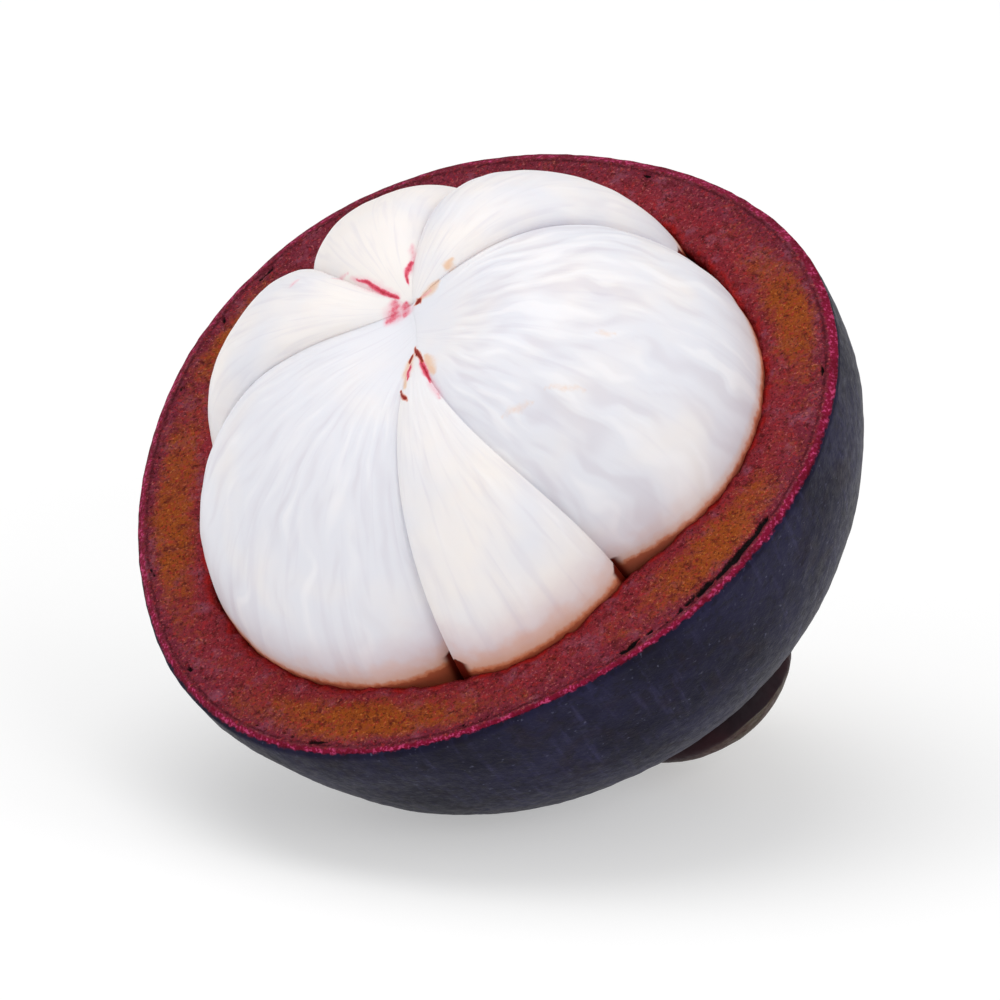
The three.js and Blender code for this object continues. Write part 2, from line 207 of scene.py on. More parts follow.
rind = {  # mm and degrees, as in the solids but for the cavity's gap
    "centre": -0.5,
    "radius": 30.25,
    "depth": 30.4,
    "fullness": 1.8,
    "leaning": 0.8,
    "leaningAzimuth": 172,
    "leaningReach": (-0.05, 0.3),
    "endFlattening": 1.8,
    "endReach": (0.7, 1),
    "shoulder": 3.6,
    "dents": 0.15,
    "cutWaves": [(1, 0.0289, -119.7), (2, 0.0061, 83.9), (3, 0.0303, -1.7), (4, 0.0064, -17.8)],
    "lowWaves": [(3, 0.021, -4.3), (4, 0.005, -25.8)],
    "cutShapeReach": 0.5,
    "skinRounding": 0.4,
    "innerRounding": 0.25,
    "cutAngle": 5,
    "cavityGap": 0.08,
    "ridge": 0.8,
    "ridgeFade": (-6, -2),
    "wallStart": -8,
    "wallBlend": (1, 6),
    "sides": 600,
    "rows": {"skin": 92, "rim": 4, "cut": 30, "edge": 3, "wall": 16},
    "edgeWander": [(0.25, 2.2, 3), (0.18, 0.8, 4)],
    "edgeShift": 0.12,
    "leather": [(1, 1.3, 0), (0.7, 0.75, 1), (1.5, 5, 2)],
    "leatherDepth": 0.05,
    "crumbs": [(1, 0.9, 5), (0.9, 0.5, 6), (0.6, 3, 7)],
    "crumbDepth": 0.13,
    "crumbReach": (0.3, 0.9),
    "fringe": [(0.1, 0.6, 11)],
    "fringeReach": 0.35,
    "sag": 0.25,
    "splitInward": 0.55,
    "splitWander": [(0.2, 1.3, 10)],
    "splitWidth": 0.13,
    "tears": [(0.8, 1.6, 8), (0.6, 0.5, 9)],
    "tearReach": (0.35, 0.6),
    "tornPlaces": [(80, 17)],
    "grooveDepth": 0.35,
    "grooveWidth": 0.2,
    "warmPlaces": [(-62, 24), (10, 22), (81, 17), (133, 15), (-100, 10)],
    "meridianSquash": 0.12,
    "peeling": 0.26,
    "peelingFrom": 0.5,  # radians
}

flesh = {  # the ball of segments in mm and degrees, as in the solids but for the gap
    "centre": -4,
    "radius": 24.3,
    "height": 20.5,
    "depth": 19.2,
    "fullness": 2.3,
    "flatSides": [(64, 2.3, 26), (248, 0.8, 38)],
    "bottomFullness": 2,
    "stainAndRindLightPlaces": [(34, 42)],
    "roundness": 2.7,
    "power": 0.75,
    "riseReach": 0.6,
    "innerFold": 0.5,
    "foldReach": (0.5, 1),
    "foldStart": 0.25,
    "gap": -0.1,
    "dip": 1.6,
    "dipRadius": 5.5,
    "low": Vector((1.35, 1.65)),
    "high": Vector((-2.6, -1.1)),
    "around": 200,
    "smoothing": 3,
    "lumps": [(0.1, 5, 23), (0.04, 2, 24)],
    "rippleDepth": 0.12,
    "rippleBends": [(1.6, 4.5, 25), (0.5, 1.8, 26)],
    "rippleReach": (2, 9),
    "creaseWidth": 1.0,
}

creases = [  # between the segments, each from one of the two junctions
    {"azimuth": 27, "junction": "low", "bow": -0.8},
    {"azimuth": 69, "junction": "low", "bow": -2.3},
    {"azimuth": 159, "junction": "high", "bow": 0.5},
    {"azimuth": 202, "junction": "high", "bow": 0.6},
    {"azimuth": 243, "junction": "high", "bow": 2.2},
    {"azimuth": 292, "junction": "high", "bow": 1.7},
]

segments = [  # start: share of the way out from the junction, less than 0 past it
    {"name": "segment_wedge", "rise": 0.3, "fold": 0.095, "start": 0.004,
     "cream": 0.7, "wrinkle": 0.4, "across": 110},
    {"name": "segment_large_right", "rise": 1.3, "fold": 0.09, "start": -0.027,
     "cream": 0.15, "wrinkle": 1.0, "across": 180},
    {"name": "segment_upper", "rise": 1.6, "fold": 0.1, "start": 0.004,
     "cream": 0.6, "wrinkle": 0.45, "across": 120},
    {"name": "segment_small", "rise": 1.8, "fold": 0.1, "start": 0.004,
     "cream": 0.9, "wrinkle": 0.2, "across": 120},
    {"name": "segment_side", "rise": 1.5, "fold": 0.1, "start": 0.004,
     "cream": 0.7, "wrinkle": 0.35, "across": 120},
    {"name": "segment_large_left", "rise": 1, "fold": 0.09, "start": -0.027,
     "cream": 0.0, "wrinkle": 0.6, "across": 180},
]


def fleshRadius(azimuth):
    radius = flesh["radius"]
    for centre, depth, width in flesh["flatSides"]:
        radius -= depth * bell(turnBetween(azimuth, math.radians(centre)), math.radians(width))
    return radius


def swell(across):
    return max(0, 1 - abs(2 * across - 1) ** flesh["roundness"]) ** flesh["power"]


def segmentSpan(index):
    following = creases[(index + 1) % len(creases)]
    return (following["azimuth"] - creases[index]["azimuth"]) % 360


def outlineDrop(azimuth):  # how far the flesh falls in towards its creases
    for index, segment in enumerate(segments):
        span = segmentSpan(index)
        turn = (math.degrees(azimuth) - creases[index]["azimuth"]) % 360
        if turn < span:
            width = 2 * flesh["radius"] * math.sin(math.radians(span / 2))
            return segment["fold"] * width * (1 - swell(turn / span))
    return 0


def waves(crests, azimuth):  # count, height and azimuth of the waves round the fruit
    turns = [(height, count * (azimuth - math.radians(crest))) for count, height, crest in crests]
    return 1 + sum(height * math.cos(turn) for height, turn in turns)


def rindDistance(angle, azimuth):  # from the body's centre to the skin
    side = math.sin(angle)
    down = math.cos(angle)
    low = smoothStep(down, 0, rind["cutShapeReach"])
    outline = lerp(waves(rind["cutWaves"], azimuth), waves(rind["lowWaves"], azimuth), low)
    across = side / (rind["radius"] * outline)
    if down > 0:
        fullness = rind["fullness"]
        reach = (across ** fullness + (down / rind["depth"]) ** fullness) ** (-1 / fullness)
    else:
        reach = 1 / math.hypot(across, down / rind["shoulder"])
    reach -= rind["endFlattening"] * smoothStep(down, *rind["endReach"])
    leaning = rind["leaning"] * side * smoothStep(down, *rind["leaningReach"])
    reach += leaning * math.cos(azimuth - math.radians(rind["leaningAzimuth"]))
    dents = math.sin(5 * angle + 2 * azimuth) * math.cos(3 * azimuth - 4 * angle)
    return reach + rind["dents"] * side * dents


def skinPoint(angle, azimuth, reach):
    return polar(reach * math.sin(angle), azimuth, rind["centre"] - reach * math.cos(angle))


def aboveGround(point):  # pushed up where it would pass through the ground
    place = toWorld @ point
    place.z = max(place.z, 0)
    return place


def cavityRadius(azimuth, z):
    low, high = rind["ridgeFade"]
    ridge = min(outlineDrop(azimuth), rind["ridge"]) * clamp((z - low) / (high - low))
    return fleshRadius(azimuth) + rind["cavityGap"] - ridge


rimAngle = math.pi / 2 + math.atan(-rind["centre"] / rind["radius"])


def rindPlace(zone, share, azimuth):  # a point of the rind and how far in from the skin it is
    rimRadius = rindDistance(rimAngle, azimuth) * math.sin(rimAngle)
    innerRadius = cavityRadius(azimuth, 0) * math.cos(math.radians(rind["cutAngle"]))
    ripple = polar(innerRadius, azimuth, 0)
    innerRadius += grains(ripple, rind["edgeWander"]) - rind["edgeShift"]
    ring = rind["skinRounding"]
    if zone == "skin":
        angle = (rimAngle - ring / rind["radius"]) * share
        point = skinPoint(angle, azimuth, rindDistance(angle, azimuth))
        return point, -(rimAngle - angle) * rind["radius"]
    if zone == "rim":
        turn = share * math.pi / 2
        radius = rimRadius - ring + ring * math.cos(turn)
        return polar(radius, azimuth, -ring + ring * math.sin(turn)), (share - 1) * ring
    if zone == "cut":
        start = rimRadius - ring
        radius = lerp(start, innerRadius + rind["innerRounding"], share)
        return polar(radius, azimuth, 0), start - radius
    if zone == "edge":
        turn = share * math.pi / 2
        bend = rind["innerRounding"]
        radius = innerRadius + bend - bend * math.sin(turn)
        return polar(radius, azimuth, -bend + bend * math.cos(turn)), rimRadius - innerRadius
    angle = lerp(math.radians(rind["wallStart"]), math.pi / 2, share)
    z = flesh["centre"] - (flesh["depth"] + rind["cavityGap"]) * math.sin(angle)
    radius = cavityRadius(azimuth, z) * math.cos(angle)
    radius = lerp(innerRadius, radius, smoothStep(-z, *rind["wallBlend"]))
    return polar(radius, azimuth, z), rimRadius - innerRadius - z


def rindRelief(zone, point, inward, toFlesh):  # how far the surface stands out, in mm
    if zone == "skin":
        return rind["leatherDepth"] * grains(point, rind["leather"])
    if zone == "wall":
        return 0
    crumbs = grains(point, rind["crumbs"])
    crumbs *= rind["crumbDepth"] * smoothStep(inward, *rind["crumbReach"])
    groove = rind["grooveDepth"] * tornAt(point) * bell(crevice(point, inward), rind["grooveWidth"])
    fringe = grains(point, rind["fringe"]) * bell(inward, rind["fringeReach"])
    sag = rind["sag"] * smoothStep(toFlesh, 1.0, 0)
    return crumbs - groove + fringe - sag


def crevice(point, inward):  # distance from the wandering split just inside the rim
    return inward - rind["splitInward"] - grains(point, rind["splitWander"])


def within(places, point):  # 1 at the middle of one of these azimuths, 0 away from them all
    azimuth = math.atan2(point.y, point.x)
    turns = [(turnBetween(azimuth, math.radians(centre)), width) for centre, width in places]
    return max(bell(math.degrees(turn), width) for turn, width in turns)


def tornAt(point):  # 1 where the split is open
    opening = grains(point, rind["tears"]) + within(rind["tornPlaces"], point)
    return smoothStep(opening, *rind["tearReach"])


def rindRows():  # the rows of faces from the calyx end over the cut to the cavity's bottom
    rows = []
    for zone, count in rind["rows"].items():
        count = max(3, round(count * detail))
        steps = range(0 if zone == "skin" else 1, count + 1)
        rows += [(zone, step / count) for step in steps]
    return rows


def floatLayers(work, names):
    for name in names:
        work.verts.layers.float.new(name)
    return {name: work.verts.layers.float[name] for name in names}


def makeRind(material):
    rows = rindRows()
    sides = round(rind["sides"] * detail)
    work = bmesh.new()
    bmesh.ops.create_grid(work, x_segments=sides, y_segments=len(rows) - 1, size=0.5)
    layers = floatLayers(work, ("inward", "toFlesh", "peel", "warm", "split"))
    meridian = work.verts.layers.float_vector.new("meridian")
    for vertex in work.verts:
        azimuth = (vertex.co.x + 0.5) * 2 * math.pi
        zone, share = rows[round((vertex.co.y + 0.5) * (len(rows) - 1))]
        point, inward = rindPlace(zone, share, azimuth)
        toFlesh = point.xy.length - rindPlace("edge", 1, azimuth)[0].xy.length
        vertex[meridian] = polar(rind["radius"], azimuth, rind["meridianSquash"] * inward)
        vertex[layers["inward"]] = inward
        farSide = 1 - math.cos(azimuth - rind["peelingFrom"])
        vertex[layers["peel"]] = inward + rind["peeling"] * farSide / 2
        vertex[layers["toFlesh"]] = toFlesh if zone != "wall" else point.z
        vertex[layers["warm"]] = within(rind["warmPlaces"], point)
        splitWidth = rind["splitWidth"]
        splitWidth += splitWidth * within(rind["tornPlaces"], point)
        vertex[layers["split"]] = tornAt(point) * bell(crevice(point, inward), splitWidth)
        outward = Vector((0, 0, 1))
        if zone == "skin":
            outward = (point - Vector((0, 0, rind["centre"]))).normalized()
        point += outward * rindRelief(zone, point, inward, toFlesh)
        vertex.co = aboveGround(point)
    bmesh.ops.remove_doubles(work, verts=work.verts, dist=weldDistance)
    bmesh.ops.recalc_face_normals(work, faces=work.faces)
    makePiece("rind_cup", work, material, "rind")


def rindFinish():
    finish = Finish("rind", **{"IOR": 1.4, "Specular IOR Level": 0.12})
    inward = finish.attribute("inward")
    toFlesh = finish.attribute("toFlesh")
    meridian = finish.attribute("meridian", "Vector")

    # Skin: slate and purple patches with paler streaks and pinpricks along the meridians
    patches = finish.noise(9, 3, 0.55).between(0.35, 0.65)
    skin = finish.mix(colour(24, 22, 40), colour(36, 34, 58), patches)
    lengthwise = {"Vector": meridian, "Scale": 1.1, "Detail": 4.0, "Roughness": 0.6}
    paler = finish.node("TexNoise", {}, lengthwise).between(0.5, 0.8)
    skin = finish.mix(skin, colour(67, 64, 98), paler * 0.45)
    brown = finish.noise(4, 4, 0.6, distortion=0.6).between(0.5, 0.72)
    skin = finish.mix(skin, colour(36, 27, 33), brown * 0.6)
    mottle = finish.noise(0.7, 3, 0.6)
    skin = finish.mix(skin, colour(24, 22, 31), mottle.between(0.5, 0.36) * 0.5)
    fleck = finish.noise(0.45, 2, 0.5).between(0.66, 0.78)
    skin = finish.mix(skin, colour(104, 106, 130), fleck * 0.4)

    # Pulp: maroon and orange-brown, clouded into each other, with dark and pale grains
    fine = finish.noise(0.8, 4, 0.7)
    outwards = toFlesh / (inward + toFlesh)
    middle = outwards.between(0.08, 0.5) * outwards.between(1.0, 0.7)
    clouds = finish.noise(2.4, 5, 0.75) * 1.5 + finish.noise(0.45, 3, 0.7) * 1.1
    warm = (finish.attribute("warm") * middle * 0.85 + clouds - 1.32).between(0.0, 0.9)
    pulp = finish.mix(colour(134, 42, 52), colour(116, 40, 56), outwards.between(0.35, 0.9))
    dusty = finish.noise(1.7, 3, 0.6).between(0.5, 0.7)
    pulp = finish.mix(pulp, colour(138, 74, 92), dusty * 0.7)
    pulp = finish.mix(pulp, colour(150, 74, 26), warm * 0.95)
    pulp = finish.mix(pulp, colour(84, 20, 24), fine.between(0.5, 0.32) * 0.8)
    darkGrain = finish.noise(0.24, 3, 0.7).between(0.48, 0.36)
    pulp = finish.mix(pulp, colour(50, 12, 16), darkGrain * 0.65)
    redGrain = finish.noise(0.33, 2, 0.6).between(0.55, 0.66)
    pulp = finish.mix(pulp, colour(176, 46, 48), redGrain * 0.45)
    pale = finish.mix(colour(196, 104, 104), colour(204, 124, 62), warm)
    pulp = finish.mix(pulp, pale, finish.noise(0.25, 3, 0.65).between(0.57, 0.7) * 0.6)
    border = toFlesh + finish.noise(0.6, 3, 0.6) * 0.9 - 0.45
    reddened = border.between(1.0, 0.45) * finish.noise(1.5, 2).between(0.4, 0.6)
    pulp = finish.mix(pulp, colour(168, 30, 24), reddened * 0.7)
    # Dark red-brown along the inner edge and down the cavity wall: partly wet pulp, partly painted shade of
    # the gap to the flesh
    moistAndShade = border.between(0.5, 0.22)
    pulp = finish.mix(pulp, colour(96, 14, 10), moistAndShade * 0.7)

    # Rim: a thin crimson line flecked with painted highlights, then a broken dark one of painted shade in
    # the split
    ragged = inward + finish.noise(0.45, 3, 0.65) * 0.5 - 0.25
    # Pink flecks on the crimson line are painted highlights
    pinkHighlight = finish.noise(0.28, 2).between(0.5, 0.64)
    crimson = finish.mix(colour(128, 20, 52), colour(206, 76, 124), pinkHighlight * 0.75)
    crimson = finish.mix(crimson, colour(100, 14, 34), finish.noise(1.6, 2).between(0.48, 0.6) * 0.7)
    pulp = finish.mix(crimson, pulp, ragged.between(-0.12, 0.02))
    shade = finish.noise(0.8, 3, 0.7).between(0.36, 0.56)
    pulp = finish.mix(pulp, colour(66, 8, 24), ragged.near(0.22, 0.24) * shade * 0.85)
    # Painted shade in the broken split just inside the rim
    split = finish.attribute("split") + finish.noise(0.3, 3, 0.7) * 0.9 - 0.45
    pulp = finish.mix(pulp, colour(40, 6, 16), split.between(0.24, 0.42) * 0.8)
    pulp = finish.mix(pulp, colour(16, 3, 8), split.between(0.42, 0.6))
    peel = finish.attribute("peel")
    skinEnd = (-0.32, -0.24)  # mm inwards, where the skin turns into pulp
    onCut = (peel + finish.noise(0.5, 2) * 0.2 - 0.1).between(*skinEnd)
    base = finish.mix(skin, pulp, onCut)

    depth = peel.between(*skinEnd) * 0.24 + 0.06
    height = finish.noise(0.4, 3, 0.7) * depth
    rough = finish.noise(0.6, 2).between(0.3, 0.7) * 0.12 + 0.42 + onCut * 0.1 - moistAndShade * onCut * 0.2
    return finish.feed(Base_Color=base, Roughness=rough, Normal=finish.bump(height, 1.0))


makeRind(rindFinish())
print("rind made")


# Flesh


def creasePoint(crease, along, shift):  # seen along the fruit's axis
    azimuth = math.radians(crease["azimuth"])
    start = flesh[crease["junction"]]
    chord = Vector((math.cos(azimuth), math.sin(azimuth))) * fleshRadius(azimuth) - start
    sideways = Vector((-chord.y, chord.x)).normalized()
    return start + chord * along + sideways * (crease["bow"] * 4 * along * (1 - along) + shift)


def segmentPlan(index, along, across):
    crease = creases[index]
    following = creases[(index + 1) % len(creases)]
    azimuth = math.radians(crease["azimuth"] + segmentSpan(index) * across)
    arc = Vector((math.cos(azimuth), math.sin(azimuth))) * fleshRadius(azimuth)
    chord = creasePoint(crease, 1, 0).lerp(creasePoint(following, 1, 0), across)
    straight = creasePoint(crease, along, flesh["gap"] / 2)
    straight = straight.lerp(creasePoint(following, along, -flesh["gap"] / 2), across)
    return straight + (arc - chord) * along


def segmentPoint(index, turn, across):  # turn: top 0, outside 0.5, bottom 1
    segment = segments[index]
    top = turn < 0.5
    height = flesh["height"] if top else flesh["depth"]
    fullness = flesh["fullness"] if top else flesh["bottomFullness"]
    along = segment["start"] + (1 - segment["start"]) * math.sin(turn * math.pi)
    place = segmentPlan(index, along, across)
    radius = fleshRadius(math.atan2(place.y, place.x))
    outward = min(place.length / radius, 1)
    upward = 0 if abs(turn - 0.5) < 1e-6 else (1 - outward ** fullness) ** (1 / fullness)
    slope = Vector((outward ** (fullness - 1) / radius, upward ** (fullness - 1) / height))
    normal = slope.normalized()
    width = (segmentPlan(index, along, 0) - segmentPlan(index, along, 1)).length
    rise, folding = 0, 1
    if top:
        rise = segment["rise"] * smoothStep(along, 0, flesh["riseReach"])
        folding = lerp(flesh["innerFold"], 1, smoothStep(along, *flesh["foldReach"]))
        folding *= smoothStep(along, 0, flesh["foldStart"])
    fold = segment["fold"] * folding * width * (1 - swell(across))
    drop = fold - rise * swell(across) * normal.y
    inner = along - drop * normal.x / radius
    moved = segmentPlan(index, inner, across)
    dip = flesh["dip"] * bell(place.length, flesh["dipRadius"]) if top else 0
    z = height * upward - drop * normal.y - dip
    return Vector((moved.x, moved.y, flesh["centre"] + (z if top else -z))), inner


loopParts = {"top": 0.74, "bottom": 0.92}  # shares of the way round a segment
topTurn = 0.6  # how far round the top part goes, past the widest place at 0.5
wallShare = 0.14  # share of the way across that is a wall against a neighbour


def onLoop(index, loop, across):  # along the top and the bottom, then up the inner edge
    if loop < loopParts["top"]:
        return segmentPoint(index, topTurn * loop / loopParts["top"], across)
    if loop < loopParts["bottom"]:
        share = (loop - loopParts["top"]) / (loopParts["bottom"] - loopParts["top"])
        return segmentPoint(index, lerp(topTurn, 1, share), across)
    share = (loop - loopParts["bottom"]) / (1 - loopParts["bottom"])
    low, inner = segmentPoint(index, 1, across)
    return low.lerp(segmentPoint(index, 0, across)[0], share), inner


def onWall(index, loop, side, share):  # from the edge towards the middle of the wall
    edge, inner = onLoop(index, loop, side)
    crease = creases[(index + side) % len(creases)]
    shift = flesh["gap"] / 2 * (1 - 2 * side)
    plan = creasePoint(crease, lerp(inner, 0.5, share), shift)
    return Vector((plan.x, plan.y, lerp(edge.z, flesh["centre"], share)))


streaks = [  # threads of colour in the creases, as mm seen along the fruit's axis
    {"kind": "crimson", "width": 0.24, "points": [(-3.5, -6.8), (-3.2, -5.1), (-3.0, -4.0), (-2.9, -2.6)]},
    {"kind": "faint", "width": 0.5, "points": [(-3.6, -7.6), (-3.2, -5.1), (-2.9, -2.6)]},
    {"kind": "faint", "width": 0.3, "points": [(-8.0, -4.1), (-6.2, -3.1)]},
    {"kind": "crimson", "width": 0.2, "points": [(-6.4, -3.1), (-5.4, -2.9), (-4.2, -2.4)]},
    {"kind": "patch", "width": 0.8, "points": [(-2.6, -2.7), (-1.6, -2.2), (-0.6, -2.5)]},
    {"kind": "patch", "width": 0.5, "points": [(-2.6, -1.7), (-1.7, -1.2)]},
    {"kind": "rust", "width": 0.3, "points": [(-2.8, -0.9), (-3.3, -0.7)]},
    {"kind": "stain", "width": 0.4, "points": [(-3.2, -0.7), (-4.1, -0.2), (-5.2, 0.1)]},
    {"kind": "faint", "width": 0.2, "points": [(-3.2, -0.7), (-4.3, -0.1)]},
    {"kind": "stain", "width": 0.35, "points": [(-6.2, 0.3), (-7.2, 0.4)]},
    {"kind": "rust", "width": 0.2, "points": [(1.0, 1.2), (1.6, 2.0), (2.3, 2.9)]},
    {"kind": "crimson", "width": 0.24, "points": [(1.9, 2.3), (3.0, 3.6), (4.0, 4.9)]},
    {"kind": "faint", "width": 0.35, "points": [(3.6, 4.4), (5.2, 6.5)]},
    {"kind": "stain", "width": 0.6, "points": [(1.6, 2.8), (2.5, 3.8), (3.1, 4.6)]},
    {"kind": "rust", "width": 0.14, "points": [(1.7, 1.5), (2.8, 2.0)]},
    {"kind": "stain", "width": 0.35, "points": [(1.8, 1.6), (3.4, 2.2), (5.2, 3.1)]},
    {"kind": "crimson", "width": 0.15, "points": [(2.8, 2.1), (4.4, 2.9)]},
    {"kind": "rust", "width": 0.18, "points": [(5.5, 2.8), (6.0, 3.4), (6.2, 3.9)]},
    {"kind": "faint", "width": 0.25, "points": [(-3.3, -9.6), (-4.0, -8.2)]},
    {"kind": "faint", "width": 0.3, "points": [(-1.5, -12.8), (-2.6, -12.4)]},
    {"kind": "vein", "width": 0.26, "points": [(1.4, 14.1), (0.6, 15.4), (-0.1, 16.6)]},
    {"kind": "vein", "width": 0.26, "points": [(4.8, 11.7), (3.5, 13.0), (2.7, 13.7)]},
    {"kind": "vein", "width": 0.24, "points": [(-4.6, 15.2), (-5.4, 16.3)]},
]
streakPaints = {  # how much crimson, rust and yellow-orange stain each kind has
    "crimson": (1, 0, 0),
    "patch": (0.72, 0, 0),
    "rust": (0.5, 1, 0.3),
    "stain": (0, 0, 0.8),
    "faint": (0.45, 0, 0.1),
    "vein": (0, 0, 0.42),
}
streakWander = 0.2
streakTaper = (0.5, 0.7)  # share of the width at the ends, and added in the middle


def streakAt(point):  # strengths of crimson, rust and yellow-orange stain
    strength = Vector((0, 0, 0))
    place = point.xy + Vector((grain(point, 0.9, 31), grain(point, 0.9, 32))) * streakWander
    thin, swelling = streakTaper
    for streak in streaks:
        ways = list(zip(streak["points"], streak["points"][1:]))
        for index, (start, end) in enumerate(ways):
            start = Vector(start)
            way = Vector(end) - start
            share = clamp((place - start).dot(way) / way.length_squared)
            middle = math.sin(math.pi * (index + share) / len(ways))
            width = streak["width"] * (thin + swelling * middle)
            shade = bell((place - start - way * share).length, width)
            paint = Vector(streakPaints[streak["kind"]]) * shade
            strength = Vector(map(max, strength, paint))
    return strength


def rippleAt(index, across, along, width, point):  # soft wrinkles along a segment, from -1 to 1
    bent = grains(point, flesh["rippleBends"], (across - 0.5) * width)
    ripples = grain((bent, along / 4, 5.3), 1.3, 27) + 0.5 * grain((bent, along / 3, 1.7), 0.8, 22)
    return segments[index]["wrinkle"] * ripples * smoothStep(along, *flesh["rippleReach"])


def makeSegment(index, material):
    segment = segments[index]
    width = 2 * flesh["radius"] * math.sin(math.radians(segmentSpan(index) / 2))
    work = bmesh.new()
    steps = {"u_segments": round(flesh["around"] * detail), "v_segments": round(segment["across"] * detail)}
    bmesh.ops.create_uvsphere(work, radius=1, **steps)
    fibreLayer = work.verts.layers.float_vector.new("fibre")
    streakLayer = work.verts.layers.float_vector.new("streak")
    layers = floatLayers(work, ("level", "cream", "facing", "crease", "rippleShading"))
    for vertex in work.verts:
        loop = (math.atan2(vertex.co.y, vertex.co.x) / (2 * math.pi)) % 1
        level = math.asin(clamp(vertex.co.z, -1, 1)) / (math.pi / 2)
        inWall = max(0, (abs(level) - 1 + wallShare) / wallShare)
        across = 0.5 + 0.5 * math.sin(math.pi / 2 * clamp(level / (1 - wallShare), -1, 1))
        point, inner = onLoop(index, loop, across)
        vertex[streakLayer] = streakAt(point)
        if inWall > 0:
            point = onWall(index, loop, round(across), inWall)
        elif loop < loopParts["top"]:
            outward = Vector((point.x, point.y, point.z - flesh["centre"])).normalized()
            ripple = rippleAt(index, across, inner * flesh["radius"], width, point)
            # the ripple's height, kept for the painted shade and light on the flesh
            vertex[layers["rippleShading"]] = ripple
            relief = grains(point, flesh["lumps"], flesh["rippleDepth"] * ripple)
            point += outward * relief * smoothStep(swell(across), 0, 0.5)
        vertex[fibreLayer] = ((across - 0.5) * width, inner * flesh["radius"], index * 5.0)
        vertex[layers["level"]] = point.z
        vertex[layers["cream"]] = segment["cream"]
        vertex[layers["facing"]] = within(flesh["stainAndRindLightPlaces"], point)
        vertex[layers["crease"]] = bell(min(across, 1 - across) * width, flesh["creaseWidth"])
        vertex.co = toWorld @ point
    bmesh.ops.recalc_face_normals(work, faces=work.faces)
    soften(work, flesh["smoothing"])
    makePiece(segment["name"] + "_flesh", work, material, segment["name"])


def fleshFinish():
    scattering = {"Subsurface Weight": 0.15, "Subsurface Scale": 0.003}
    scattering["Subsurface Radius"] = (1.0, 0.85, 0.8)
    finish = Finish("flesh", **{"IOR": 1.4, "Specular IOR Level": 0.4}, **scattering)
    fibre = finish.attribute("fibre", "Vector")
    level = finish.attribute("level")
    facing = finish.attribute("facing")
    crimson, rust, yellow = finish.parts(finish.attribute("streak", "Vector"))
    lines = finish.stretched(fibre, (1, 0.16, 1))
    fine = finish.node("TexNoise", {}, {"Vector": lines, "Scale": 0.9, "Detail": 2.0, "Distortion": 0.6})
    cloud = finish.noise(7, 2)
    creamy = (cloud + finish.attribute("cream") * 0.35).between(0.45, 0.95)
    base = finish.mix(colour(232, 232, 239), colour(246, 239, 235), creamy)
    base = finish.mix(base, colour(214, 209, 220), fine.between(0.5, 0.75) * 0.3)
    # Painted shade in the ripples' hollows and painted light on their crests
    rippleShading = finish.attribute("rippleShading")
    base = finish.mix(base, colour(206, 198, 208), rippleShading.between(0.0, -0.6) * 0.34)
    base = finish.mix(base, colour(252, 250, 252), rippleShading.between(0.05, 0.5) * 0.4)

    # Tinted next to the rind, partly stain and partly painted light bled from the rind: lilac-pink low down
    # on the near side, orange next to the cut
    low = level + finish.noise(2.5, 3) * 4 - 2
    base = finish.mix(base, colour(219, 196, 202), low.between(6.0, 1.5) * facing * 0.6)
    base = finish.mix(base, colour(226, 164, 132), low.between(2.6, 0.6) * facing * 0.55)
    edge = level + finish.noise(0.7, 3, 0.6) * 0.8 - 0.4
    base = finish.mix(base, colour(226, 170, 138), edge.between(1.3, 0.3) * 0.5)
    base = finish.mix(base, colour(212, 110, 52), edge.between(0.5, 0.05) * 0.75)
    # Darkest red where the flesh meets the rind below the cut: partly painted shade
    base = finish.mix(base, colour(150, 40, 20), edge.between(0.1, -0.15) * 0.6)
    # Painted shade of the gaps at the foot of each crease, in dark red-brown
    cornerShade = finish.attribute("crease") * (level + finish.noise(0.8, 3) - 0.5).between(1.3, 0.7)
    base = finish.mix(base, colour(96, 26, 14), cornerShade.between(0.15, 0.6))

    ragged = finish.noise(0.55, 4, 0.7)
    stained = (yellow + ragged * 0.5 - 0.25).between(0.1, 0.9)
    base = finish.mix(base, colour(236, 184, 138), stained * 0.75)
    blushed = (crimson + ragged * 0.3 - 0.15).between(0.05, 0.7)
    base = finish.mix(base, colour(240, 166, 182), blushed * 0.8)
    torn = crimson + ragged * 0.9 - 0.45
    base = finish.mix(base, colour(222, 58, 92), torn.between(0.4, 0.85) * 0.9)
    base = finish.mix(base, colour(176, 20, 44), torn.between(0.85, 1.05) * 0.8)
    rusty = (rust + ragged * 0.4 - 0.2).between(0.2, 0.6)
    base = finish.mix(base, colour(214, 120, 70), rusty * 0.7)
    base = finish.mix(base, colour(140, 26, 12), (rust + ragged * 0.8 - 0.4).between(0.5, 0.8))

    rough = fine.between(0.3, 0.7) * 0.12 + 0.4
    return finish.feed(Base_Color=base, Roughness=rough)


fleshMaterial = fleshFinish()
for index in range(len(segments)):
    makeSegment(index, fleshMaterial)
print("flesh made")


# Calyx and stem

calyx = {
    "lobes": ["calyx_lobe_front", "calyx_lobe_right", "calyx_lobe_back", "calyx_lobe_under"],
    "cuts": 3,
    "smoothing": 6,
    "lumpDepth": 0.12,
    "lumpSize": 3.0,
    # the front lobe shows little of its outer colour: painted shade
    "shadedFront": 0.25,
    "outerShare": 1,
}

stem = {"cuts": 3, "smoothing": 3, "lumpDepth": 0.12, "lumpSize": 1.5}


def nodeCopy(node, cuts, smoothing):  # a solid's own surface with finer, smoother faces
    work = bmesh.new()
    work.from_mesh(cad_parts[node].data)
    bmesh.ops.remove_doubles(work, verts=work.verts, dist=weldDistance)
    bmesh.ops.subdivide_edges(work, edges=work.edges, cuts=cuts, use_grid_fill=True)
    soften(work, smoothing)
    return work


